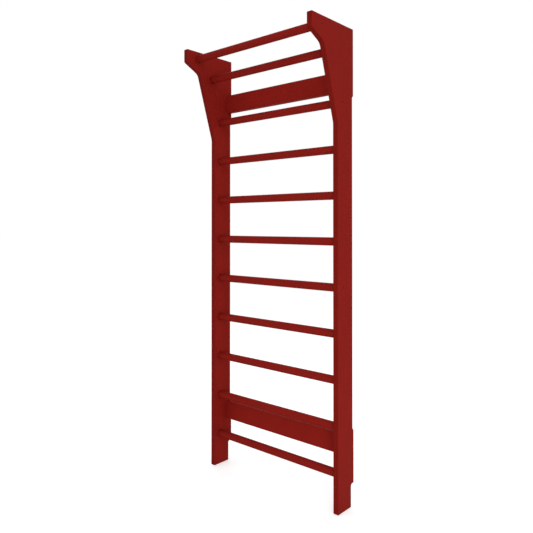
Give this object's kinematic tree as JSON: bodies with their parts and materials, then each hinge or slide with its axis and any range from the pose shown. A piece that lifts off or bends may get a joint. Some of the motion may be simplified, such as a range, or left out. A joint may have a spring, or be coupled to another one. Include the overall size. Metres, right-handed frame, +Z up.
{
  "type": "swedish wall bars",
  "caption": "Tall painted wooden wall ladder: side panels with flared heads carry round rungs, a pull-up bar in front and flat boards at the wall side.",
  "frame": {"origin": "on the floor, under the middle of the overall box", "axes": "+Z up, +Y towards the wall that the ladder stands against, +X to the right as seen from the room"},
  "size_m": [0.86, 0.335, 2.3],
  "materials": {
    "painted_wood": "dark red satin paint on beech and birch plywood",
    "bare_beech": "unpainted turned beech",
    "screw_steel": "dark zinc plating"
  },
  "bodies": {
    "root": {"side_panel_left": "painted_wood", "side_panel_right": "painted_wood", "pull_up_bar": "painted_wood", "upper_grip_bar": "painted_wood", "rung_1": "painted_wood", "rung_2": "painted_wood", "rung_3": "painted_wood", "rung_4": "painted_wood", "rung_5": "painted_wood", "rung_6": "painted_wood", "rung_7": "painted_wood", "rung_8": "painted_wood", "rung_9": "painted_wood", "wall_board_upper": "painted_wood", "wall_board_lower": "painted_wood", "dowel_upper_left_top": "bare_beech", "dowel_upper_left_bottom": "bare_beech", "dowel_upper_right_top": "bare_beech", "dowel_upper_right_bottom": "bare_beech", "dowel_lower_left_top": "bare_beech", "dowel_lower_left_bottom": "bare_beech", "dowel_lower_right_top": "bare_beech", "dowel_lower_right_bottom": "bare_beech", "screw_pull_up_bar_left": "screw_steel", "screw_pull_up_bar_right": "screw_steel", "screw_rung_1_left": "screw_steel", "screw_rung_1_right": "screw_steel", "screw_rung_5_left": "screw_steel", "screw_rung_5_right": "screw_steel", "screw_rung_9_left": "screw_steel", "screw_rung_9_right": "screw_steel"}
  },
  "joints": []
}
